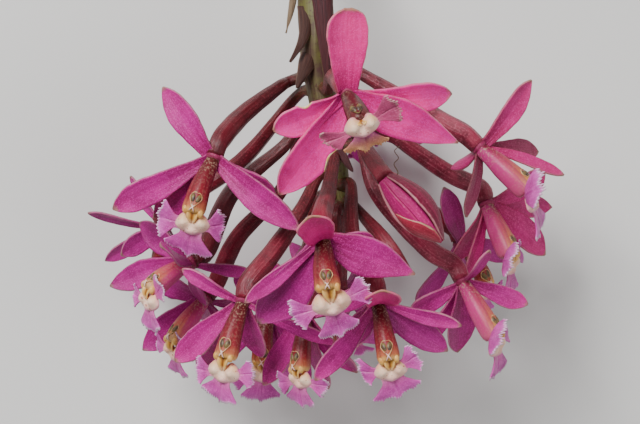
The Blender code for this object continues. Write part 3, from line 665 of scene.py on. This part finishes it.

# Lobes given one by one, where the viewer sees them best: left, right and middle, each (turn from the side,
# or from straight down, in degrees; length; width of the fringed edge; how far it bends back; skew of that
# edge).
LOBES = {
    "01": ((-10, 5.0, 4.4, 0.03, 0.2), (20, 5.2, 5.8, -0.03, 0.0), (0, 2.5, 8.6, 0.02, 0.0)),
    "02": ((6, 4.6, 7.6, 0.03, 0.0), (2, 3.4, 6.8, 0.16, 0.0), (-8, 4.2, 9.8, 0.04, -0.1)),
    "03": ((-3, 5.0, 6.2, 0.02, 0.1), (12, 4.9, 5.6, 0.0, 0.0), (2, 4.2, 8.0, 0.03, 0.1)),
    "04": ((8, 3.6, 5.2, 0.08, 0.3), (24, 3.8, 5.8, 0.02, 0.0), (9, 3.4, 9.8, 0.03, 0.12)),
    "05": ((-8, 3.8, 5.6, 0.04, 0.0), (10, 3.4, 5.4, 0.12, 0.0), (-6, 3.7, 7.8, 0.03, -0.1)),
    "06": ((0, 3.8, 5.0, 0.04, 0.0), (44, 4.4, 6.0, -0.04, 0.0), (4, 4.0, 6.4, 0.04, 0.0)),
    "07": ((0, 4.0, 5.2, 0.04, 0.0), (40, 5.2, 7.0, -0.06, 0.0), (0, 4.2, 5.6, 0.04, 0.0)),
    "10": ((44, 5.4, 7.4, -0.19, 0.1), (10, 4.4, 5.8, 0.05, 0.0), (4, 5.2, 8.6, 0.03, 0.0)),
    "11": ((36, 5.0, 7.2, -0.18, 0.1), (10, 4.2, 5.6, 0.05, 0.0), (0, 5.2, 6.4, 0.03, 0.0)),
    "12": ((46, 5.2, 7.0, -0.20, 0.1), (10, 4.2, 5.6, 0.05, 0.0), (0, 4.4, 7.0, 0.05, 0.0)),
}
# How far below the throat the callus sits, for a lip of size 1 and for the lips that differ.
CALLUS_BELOW, CALLUS_DROP = 2.4, {"01": 0.3, "03": 2.9, "05": 3.0}
ROSY = ("06", "07", "10", "11", "12")
# These outer blooms hold the lip turned 8 to 26 degrees further outward than their tepals.
LIP_FACING = {
    "06": (-0.74, -0.1, 0.64), "07": (-0.68, -0.36, 0.60), "10": (0.88, 0.24, 0.44),
    "11": (0.82, -0.1, 0.55), "12": (0.80, 0.0, 0.56),
}


def lip_skin(name, shades, vein, cloud, fringe):
    skin = Skin(name, 0.42, Specular_IOR_Level=0.4)
    veins = skin.noise(skin.stretched(13.0, 1.1), 1.0, 3.0)
    colour = skin.tinted(veins, 0.40, 0.66, 0.5, skin.ramp(skin.t, shades), vein)
    shadow = skin.ramp(skin.noise(skin.spot, 320.0, 3.0), [(0.42, 0.0), (0.68, 0.6)])
    colour = skin.mix(shadow, colour, cloud)
    cell = skin.cells(5200.0)
    glint = skin.ramp(cell.outputs["Color"], [(0.62, 0.0), (0.8, 0.3)])
    colour = skin.mix(glint, colour, tuple(min(0.9, c * 1.2 + 0.03) for c in vein))
    colour = skin.tinted(skin.t, 0.93, 0.99, 0.6, colour, fringe)
    height = skin.math("ADD", veins, skin.math("MULTIPLY", cell.outputs["Distance"], 0.5))
    return skin.finish(colour, height, 0.4, 0.00022)


LIP_SKIN = lip_skin(
    "lip_mauve", [(0.0, (0.84, 0.42, 0.46)), (0.20, (0.66, 0.13, 0.36)), (0.5, (0.54, 0.040, 0.32)),
                  (0.86, (0.62, 0.075, 0.42)), (0.95, (0.70, 0.18, 0.54)), (0.99, (0.80, 0.52, 0.72))],
    (0.78, 0.14, 0.53), (0.28, 0.016, 0.16), (0.84, 0.60, 0.76))
DUSKY_LIP = lip_skin(
    "lip_dusky", [(0.0, (0.62, 0.14, 0.26)), (0.4, (0.50, 0.050, 0.17)), (0.9, (0.40, 0.060, 0.14))],
    (0.60, 0.10, 0.26), (0.24, 0.018, 0.07), (0.58, 0.34, 0.32))
BROWN_LIP = lip_skin(
    "lip_brown", [(0.0, (0.56, 0.16, 0.30)), (0.35, (0.42, 0.060, 0.24)), (0.66, (0.46, 0.15, 0.10)),
                  (0.9, (0.55, 0.27, 0.09))],
    (0.58, 0.22, 0.16), (0.20, 0.05, 0.05), (0.62, 0.36, 0.16))

callus_skin = Skin("callus_skin", 0.48, Specular_IOR_Level=0.5, Subsurface_Weight=0.1, Subsurface_Scale=0.001)
cream = callus_skin.ramp(callus_skin.t, [
    (0.0, (0.74, 0.38, 0.12)), (0.16, (0.90, 0.54, 0.28)), (0.38, (0.96, 0.68, 0.50)),
    (0.72, (0.95, 0.58, 0.46)), (1.0, (0.66, 0.18, 0.42))])
specks = callus_skin.ramp(callus_skin.noise(callus_skin.spot, 1300.0, 2.0), [(0.64, 0.0), (0.70, 0.8)])
cream = callus_skin.mix(specks, cream, (0.42, 0.08, 0.04))
blush = callus_skin.ramp(callus_skin.noise(callus_skin.spot, 420.0, 3.0), [(0.45, 0.0), (0.7, 0.5)])
cream = callus_skin.mix(blush, cream, (0.88, 0.42, 0.30))
off_edge = callus_skin.math(
    "MAXIMUM", callus_skin.off_middle(callus_skin.u), callus_skin.off_middle(callus_skin.t))
callus_rim = callus_skin.ramp(off_edge, [(0.40, 0.0), (0.49, 0.75)])
cream = callus_skin.mix(callus_rim, cream, (0.80, 0.30, 0.42))
CALLUS_SKIN = callus_skin.finish(cream, callus_skin.noise(callus_skin.spot, 1200.0, 4.0), 0.5, 0.0004)


def column_skin(name, shades, flank=None):
    skin = Skin(name, 0.42, Specular_IOR_Level=0.30)
    red = skin.ramp(skin.t, shades)
    streaks = skin.noise(skin.stretched(20.0, 1.3), 1.0, 4.0, 0.6)
    dark = tuple(c * 0.45 for c in shades[1][1])
    red = skin.tinted(streaks, 0.46, 0.70, 0.65, red, dark)
    if flank:
        turned = skin.off_middle(skin.u)
        turned = skin.math("ADD", turned, skin.math("MULTIPLY", skin.math("SUBTRACT", streaks, 0.5), 0.2))
        red = skin.tinted(turned, 0.10, 0.24, 0.85, red, flank)
    grain = skin.ramp(skin.noise(skin.spot, 2400.0, 2.0), [(0.52, 0.0), (0.62, 1.0)])
    grain = skin.math("MULTIPLY", grain, skin.ramp(skin.t, [(0.08, 0.6), (0.4, 0.12)]))
    red = skin.mix(grain, red, (0.50, 0.36, 0.24))
    return skin.finish(red, streaks, 0.3, 0.0003)


COLUMN_SKIN = column_skin("column_wine", [
    (0.0, (0.070, 0.024, 0.014)), (0.12, (0.11, 0.008, 0.012)), (0.45, (0.18, 0.008, 0.020)),
    (0.76, (0.27, 0.015, 0.025)), (0.90, (0.48, 0.12, 0.05)), (0.97, (0.74, 0.40, 0.11))])
ROSY_SKIN = column_skin("column_rosy", [
    (0.0, (0.12, 0.015, 0.02)), (0.15, (0.30, 0.014, 0.07)), (0.5, (0.44, 0.050, 0.09)),
    (0.74, (0.52, 0.13, 0.06)), (0.88, (0.60, 0.27, 0.08)), (0.96, (0.74, 0.44, 0.18))], (0.52, 0.030, 0.20))
DARK_SKIN = column_skin("column_dark", [
    (0.0, (0.045, 0.018, 0.014)), (0.12, (0.070, 0.009, 0.011)), (0.5, (0.095, 0.009, 0.014)),
    (0.9, (0.12, 0.012, 0.016))])


def plain_skin(name, low, high, scale, roughness):
    skin = Skin(name, roughness, Specular_IOR_Level=0.5)
    grain = skin.noise(skin.spot, scale, 3.0)
    return skin.finish(skin.tinted(grain, 0.35, 0.65, 1.0, low, high), grain, 0.2, 0.0002)


ANTHER_SKIN = plain_skin("anther_olive", (0.045, 0.018, 0.022), (0.20, 0.14, 0.035), 900.0, 0.45)
RIM_SKIN = plain_skin("pocket_rim", (0.34, 0.13, 0.06), (0.70, 0.46, 0.20), 1100.0, 0.4)
CROSS_SKIN = plain_skin("pocket_cross", (0.80, 0.42, 0.40), (0.90, 0.74, 0.66), 1100.0, 0.35)
ARM_SKIN = plain_skin("mouth_amber", (0.62, 0.27, 0.045), (0.84, 0.52, 0.15), 600.0, 0.4)
RED_SKIN = plain_skin("mouth_red", (0.16, 0.004, 0.008), (0.40, 0.010, 0.020), 900.0, 0.3)
mouth_skin = Skin("mouth_gold", 0.35, Specular_IOR_Level=0.45)
# Darkest along the channel's middle: painted shade in its trough.
deep = mouth_skin.ramp(mouth_skin.off_middle(mouth_skin.u),
                       [(0.05, (0.26, 0.08, 0.012)), (0.22, (0.58, 0.27, 0.04)), (0.44, (0.78, 0.47, 0.14))])
deep = mouth_skin.tinted(mouth_skin.t, 0.66, 1.0, 0.85, deep, (0.90, 0.60, 0.38))
MOUTH_SKIN = mouth_skin.finish(deep, mouth_skin.noise(mouth_skin.spot, 900.0, 3.0), 0.2, 0.0002)


def fan_place(root, out, aside, face, lobe, rng, teeth, narrow, apex):
    """One lobe: its root, its direction, and a far edge cut into small uneven teeth."""
    turn, long, wide, fold, skew = lobe
    phase, teeth_at = rng.uniform(0, 6), [rng.uniform(0.35, 1.0) for _ in range(teeth + 2)]

    def place(u, t):
        half = wide / 2 * eased(t, ((0.0, narrow), (0.3, narrow * 1.05), (0.62, 0.5 + narrow * 0.5),
                                    (0.88, 0.94), (1.0, 1.0)))
        edge = max(0.0, (t - 0.76) / 0.24)
        spot = (u + 1) / 2 * teeth
        saw = (1 - abs(2 * (spot % 1) - 1)) * teeth_at[min(int(spot), teeth)]
        reach = long * t * (1 - 0.20 * u * u + skew * u + apex * math.exp(-((u / 0.13) ** 2)) * t)
        reach += edge * (0.75 * saw - 0.30 + 0.16 * math.sin(9 * u + phase))
        lift = (-fold * reach * reach + 0.30 * edge * math.sin(5 * u + phase) + 0.35 * abs(u) * t
                - 0.12 * math.exp(-((u / 0.1) ** 2)))
        return root + out * reach + aside * (u * half) + face * lift

    return place


def callus_place(centre, down, side, face, size):
    """The callus: two round swellings side by side, a keel below them, and a cleft between them."""
    def place(u, t):
        v = 2 * t - 1
        x, y = u * math.sqrt(1 - v * v / 2), v * math.sqrt(1 - u * u / 2)
        rho = min(1.0, math.hypot(x, y))
        above, below = max(0.0, -y), max(0.0, y)
        wx = 3.35 * x * (1 - 0.34 * below**1.3)
        cleft = 0.75 * math.exp(-((x / 0.24) ** 2)) - 0.65 * math.exp(-(((abs(x) - 0.55) / 0.3) ** 2))
        wy = 1.9 * y + above * cleft
        bumps = sum(math.exp(-(((wx - s * 1.75) / 1.05) ** 2) - ((wy + 0.55) / 1.15) ** 2) for s in (-1, 1))
        keel = math.exp(-((wx / 0.9) ** 2) - ((wy - 1.3) / 1.2) ** 2)
        lump = 0.14 * noise.noise(Vector((wx * 1.3, wy * 1.3, centre.x)))
        height = (1.20 * bumps + 0.80 * keel + 0.45 + lump) * math.sqrt(max(0.0, 1 - rho**4)) - 0.3
        return centre + (side * wx + down * wy + face * height) * size

    return place


def rounded(name, centre, a, b, c, wide=14, long=10):
    """A small egg-shaped swelling with half axes a, b and c."""
    path = [centre + a * math.cos(math.pi * (1 - s / long)) for s in range(long + 1)]

    def radius(turn, t):
        ring = math.sin(math.pi * min(max(t, 0.02), 0.98))
        return ring * math.hypot(b.length * math.cos(turn), c.length * math.sin(turn))

    return grown_tube(name, path, radius, wide, b)


COLUMN_RADII = ((0.0, 1.30), (0.2, 1.60), (0.5, 2.0), (0.8, 2.32), (0.94, 2.36), (1.0, 2.05))
COLUMN_STEPS, POCKET_AT, RIM_STEPS = 34, 0.79, 32
LOBE_THICK, CALLUS_THICK, CHANNEL_THICK = 0.3, 0.4, 0.35
SIDE_TEETH, MIDDLE_TEETH = 13, 19
for number, (down, size) in LIPS.items():
    rng = random.Random(300 + int(number))
    is_top = number == "01"
    neck, throat, axis = bloom_line(number)
    face = Vector(LIP_FACING.get(number, FACING[number])).normalized()
    down = across(face, Vector(down))
    side = face.cross(down)
    bend = across(axis, down) * -0.7
    girth = 0.3 + 0.64 * size
    line = [neck + axis * 0.3, neck.lerp(throat, 0.38) + bend, neck.lerp(throat, 0.72) + bend,
            throat + face * 0.3]
    path = even_path(line, COLUMN_STEPS)
    outward = across(axis, face)
    cross = axis.cross(outward)
    claw = 0.36 if number in ROSY else 0.08

    def column_radius(a, t):
        body = girth * eased(t, COLUMN_RADII) * (1 + 0.03 * math.cos(5 * a) + 0.015 * math.sin(12 * t + a))
        return body * (1 + claw * math.sin(math.pi * min(1, 0.15 + t * 0.8)) * (0.5 - 0.5 * math.cos(a)))

    parts = [dress(grown_tube("column", path, column_radius, 24, outward),
                   DARK_SKIN if is_top else ROSY_SKIN if number in ROSY else COLUMN_SKIN)]
    centre = throat + down * CALLUS_DROP.get(number, CALLUS_BELOW * size) + face * (0.9 if is_top else 0.1)
    heart = thick_blade("callus", 28, 28, callus_place(centre, down, side, face, size), CALLUS_THICK)
    parts.append(dress(heart, CALLUS_SKIN, CALLUS_SKIN))
    shape = LOBES.get(number) or (
        (rng.uniform(-20, 20), 4.6 * size, 5.8 * size, rng.uniform(0.0, 0.09), 0.0),
        (rng.uniform(-10, 25), 4.6 * size, 5.8 * size, rng.uniform(0.0, 0.09), 0.0),
        (rng.uniform(-10, 10), 4.5 * size, 8.6 * size, rng.uniform(0.02, 0.06), rng.uniform(-0.1, 0.1)))
    for sign, lobe in ((-1, shape[0]), (1, shape[1])):
        turn = math.radians(lobe[0])
        out = side * (sign * math.cos(turn)) - down * math.sin(turn)
        aside = face.cross(out) * -1
        root = centre + out * (2.4 * size) - face * 0.1
        place = fan_place(root, out, aside, face, lobe, rng, SIDE_TEETH, 0.34, 0.0)
        fan = thick_blade("side_lobe", 80, 14, place, LOBE_THICK)
        parts.append(dress(fan, *([DUSKY_LIP if is_top else LIP_SKIN] * 2)))
    turn = math.radians(shape[2][0])
    out = down * math.cos(turn) + side * math.sin(turn)
    root = centre + out * (1.0 * size) - face * 0.15
    middle_lobe = (shape[2][0], shape[2][1] + 1.0, *shape[2][2:])
    place = fan_place(root, out, face.cross(out) * -1, face, middle_lobe, rng, MIDDLE_TEETH, 0.44, 0.14)
    lobe = thick_blade("middle_lobe", 110, 16, place, LOBE_THICK)
    parts.append(dress(lobe, *([BROWN_LIP if is_top else LIP_SKIN] * 2)))
    # The pocket near the column's end: a thin dull rim, pointed below, round the olive anther cap, and a
    # small pale cross where its two sides meet.
    middle = path[round(POCKET_AT * COLUMN_STEPS)]
    reach = girth * eased(POCKET_AT, COLUMN_RADII)
    for sign in (-1, 1):
        cap = middle + outward * (reach - 0.55) + cross * (0.42 * sign)
        anther = rounded("anther", cap, axis * 1.15 - cross * (0.25 * sign), cross * 0.62, outward * 0.75)
        parts.append(dress(anther, ANTHER_SKIN))
    ring = []
    for k in range(RIM_STEPS + 1):
        a = 2 * math.pi * k / RIM_STEPS
        x, y = 1.15 * math.sin(a), -1.3 * math.cos(a)
        if y > 0:
            x, y = x * (1 - 0.50 * y), y * 1.5
        else:
            y += 0.30 * math.exp(-((x / 0.4) ** 2))
        ring.append(middle + axis * y + cross * x + outward * (math.sqrt(reach * reach - x * x) + 0.03))
    parts.append(dress(grown_tube("pocket_rim", ring, lambda a, t: 0.085 + 0.03 * math.sin(17 * t + a), 8),
                       ANTHER_SKIN if is_top else RIM_SKIN))
    tip = middle + axis * 1.9 + outward * (reach + 0.02)
    for lean in () if is_top else (-0.55, 0.62):
        arm = (axis * math.cos(lean) + cross * math.sin(lean)).normalized()
        bar = [tip + arm * (0.30 * s) - outward * (0.05 * s * s) for s in range(-3, 4)]
        bar = grown_tube("pocket_cross", bar, lambda a, t: 0.05 + 0.09 * arch(t), 8)
        parts.append(dress(bar, CROSS_SKIN))
    # The mouth: two amber knobs, and a golden channel that runs down between them to the callus, darkened
    # along its middle with painted shade.
    for sign in (-1, 1):
        knob = throat + cross * (1.45 * sign * size) + outward * (reach - 0.9) + down * 0.1
        knob = rounded("mouth_knob", knob, down * 0.85, cross * 0.62, outward * 0.75)
        parts.append(dress(knob, DARK_SKIN if is_top else ARM_SKIN))
    if is_top:
        spot = throat + outward * (reach - 0.5) - axis * 0.5
        parts.append(dress(rounded("mouth_spot", spot, axis * 0.8, cross * 0.6, outward * 0.7), RED_SKIN))
    high, low = throat + outward * (reach - 1.3) - down * 0.4, centre - down * (0.7 * size) + face * 0.45

    def channel_place(u, t):
        half = size * eased(t, ((0.0, 1.2), (0.5, 0.95), (1.0, 0.35)))
        return high.lerp(low, t) + cross * (u * half) + face * (0.5 * u * u + 0.5 * arch(t) - 0.1)

    channel = thick_blade("mouth_channel", 12, 14, channel_place, CHANNEL_THICK)
    parts.append(dress(channel, MOUTH_SKIN, ARM_SKIN))
    lip = joined("lip_of_" + number, parts)
    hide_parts("lip_" + number)
    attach(lip, "root")

# The half-open bud: cupped leaves still folded round each other, maroon with pale edges outside and hot
# pink where it opens, with a short salmon leaf over its end, on a pedicel of its own. A dry thread hangs by
# it.
BUD_BASE, BUD_TIP = at((13.0, 6.8, 20)), at((24.4, -5.8, 20))
bud_axis = (BUD_TIP - BUD_BASE).normalized()
bud_up = across(bud_axis, Vector((0.0, 0.0, 1.0)))
bud_side = bud_axis.cross(bud_up)
# Each leaf: turn round the bud, width, how far it stands off, share of the bud where it starts, its skin.
BUD_LEAVES = [
    (30, 4.4, -0.6, 0.0, "hot"), (150, 6.6, 0.0, 0.0, "maroon"), (215, 6.6, 0.0, 0.0, "maroon"),
    (345, 5.4, -1.0, 0.0, "deep"), (74, 5.8, 0.0, 0.0, "hot"), (66, 6.0, 0.45, 0.40, "salmon"),
    (284, 7.4, 0.9, 0.0, "maroon"),
]
BUD_GIRTH = ((0.0, 1.3), (0.2, 2.4), (0.45, 3.0), (0.7, 2.6), (0.9, 1.2), (1.0, 0.3))
WHOLE_LEAF = ((0.0, 0.42), (0.2, 0.75), (0.45, 1.0), (0.7, 0.84), (0.9, 0.42), (1.0, 0.06))
SHORT_LEAF = ((0.0, 0.04), (0.2, 0.45), (0.45, 0.9), (0.7, 0.84), (0.9, 0.42), (1.0, 0.06))


def bud_skin(name, low, high, edge_colour, edge_from):
    skin = Skin(name, 0.42, Specular_IOR_Level=0.35)
    veins = skin.noise(skin.stretched(15.0, 0.9), 1.0, 3.0, 0.6)
    grain = skin.noise(skin.spot, 2600.0, 2.0)
    colour = skin.tinted(veins, 0.36, 0.66, 1.0, low, high)
    light = tuple(min(0.9, c * 1.3 + 0.04) for c in high)
    colour = skin.tinted(grain, 0.56, 0.68, 0.55, colour, light)
    edge = skin.off_middle(skin.u)
    uneven = skin.math("SUBTRACT", skin.noise(skin.spot, 700.0, 3.0), 0.5)
    edge = skin.math("ADD", edge, skin.math("MULTIPLY", uneven, 0.08))
    colour = skin.mix(skin.ramp(edge, [(edge_from, 0.0), (edge_from + 0.03, 0.8)]), colour, edge_colour)
    return skin.finish(colour, skin.math("ADD", veins, grain), 0.4, 0.00025)


# The deep skin, dark red, on the leaf sunk inside the bud and on the other side of every leaf, is painted
# shade between the folded leaves.
BUD_SKINS = {
    "hot": bud_skin("bud_hot", (0.34, 0.006, 0.09), (0.58, 0.014, 0.21), (0.46, 0.03, 0.14), 0.47),
    "deep": bud_skin("bud_painted_shade", (0.13, 0.004, 0.012), (0.26, 0.008, 0.030), (0.30, 0.02, 0.05), 0.47),
    "maroon": bud_skin("bud_maroon", (0.12, 0.004, 0.022), (0.25, 0.011, 0.055), (0.60, 0.26, 0.28), 0.465),
    "salmon": bud_skin("bud_salmon", (0.28, 0.012, 0.032), (0.46, 0.040, 0.080), (0.56, 0.34, 0.22), 0.465),
}
bud_parts = []
for turn, width, off, first, shade in BUD_LEAVES:
    spoke = bud_up * math.cos(math.radians(turn)) + bud_side * math.sin(math.radians(turn))
    flank = bud_axis.cross(spoke)

    def leaf_place(u, t):
        along = first + (1 - first) * t
        half = width / 2 * eased(t, SHORT_LEAF if first else WHOLE_LEAF)
        out = eased(along, BUD_GIRTH) + off * arch(along)
        wave = 0.10 * u * math.sin(7 * t + turn)
        return BUD_BASE.lerp(BUD_TIP, along) + spoke * (out - 0.42 * half * u * u + wave) + flank * (u * half)

    leaf = thick_blade("bud_leaf", 14, 30, leaf_place, 0.45)
    bud_parts.append(dress(leaf, BUD_SKINS[shade], BUD_SKINS["deep"]))
bud_way = [rachis_point(0.47, 55, -0.4), rachis_point(0.47, 55, 4.0), at((9.6, 11.6, 13)),
           BUD_BASE + bud_axis * 0.4]
bud_stalk = grown_tube("bud_stalk", even_path(bud_way, 40),
                       lambda a, t: (1.05 + 0.75 * t) * (1 + 0.045 * math.cos(6 * a)), 22)
bud_parts.append(dress(bud_stalk, PEDICEL_SKIN))
THREAD = (
    (15.9, 13.2, 17), (14.9, 12.2, 18), (15.7, 10.8, 18), (14.8, 9.6, 19), (15.6, 8.0, 20), (15.2, 7.0, 20),
)
thread = grown_tube("dry_thread", even_path([at(p) for p in THREAD], 30), lambda a, t: 0.07 + 0.05 * t, 8)
bud_parts.append(dress(thread, SHEATH_SKINS["dry"]))
bud = joined("bud_half_open", bud_parts)
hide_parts("bud")
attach(bud, "root")

# The stage: a plain pale floor, a soft lamp over the upper left, a weaker and wider one at the right, and a
# camera straight above, at the photograph's viewing angle.
bpy.ops.object.select_all(action="DESELECT")
bpy.ops.mesh.primitive_plane_add(size=6.0, location=(0, 0, 0))
floor = bpy.context.object
floor.name = "floor"
floor_skin = Skin("floor_pale", 0.7)
floor_grain = floor_skin.noise(floor_skin.spot, 8.0, 2.0)
floor.data.materials.append(
    floor_skin.finish(floor_skin.mix(floor_grain, (0.70, 0.69, 0.67), (0.74, 0.73, 0.71))))


def soft_lamp(name, place, aim, size, watts):
    bpy.ops.object.select_all(action="DESELECT")
    bpy.ops.object.light_add(type="AREA", location=place)
    lamp = bpy.context.object
    lamp.name = name
    lamp.data.shape, lamp.data.size, lamp.data.energy = "SQUARE", size, watts
    lamp.rotation_euler = (Vector(aim) - Vector(place)).to_track_quat("-Z", "Y").to_euler()
    return lamp


HEAD = (0, -0.02, 0.03)
KEY_WATTS, FILL_WATTS, SKY_STRENGTH = 13.2, 2.4, 0.2
soft_lamp("key_lamp", (-0.35, 0.45, 0.75), HEAD, 0.45, KEY_WATTS)
soft_lamp("fill_lamp", (0.55, -0.25, 0.6), HEAD, 0.6, FILL_WATTS)
world = bpy.data.worlds.new("studio")
bpy.context.scene.world = world
world.use_nodes = True
world.node_tree.nodes["Background"].inputs["Color"].default_value = (0.95, 0.97, 1.0, 1)
world.node_tree.nodes["Background"].inputs["Strength"].default_value = SKY_STRENGTH

camera_data = bpy.data.cameras.new("camera")
camera = bpy.data.objects.new("camera", camera_data)
bpy.context.scene.collection.objects.link(camera)
SENSOR_WIDTH, LENS = 36.0, 99.85
camera_data.sensor_width, camera_data.lens = SENSOR_WIDTH, LENS
camera_data.clip_start = 0.01
camera.location = (Vector((0, 0, EYE)) + MIDDLE) * MM
bpy.context.scene.camera = camera
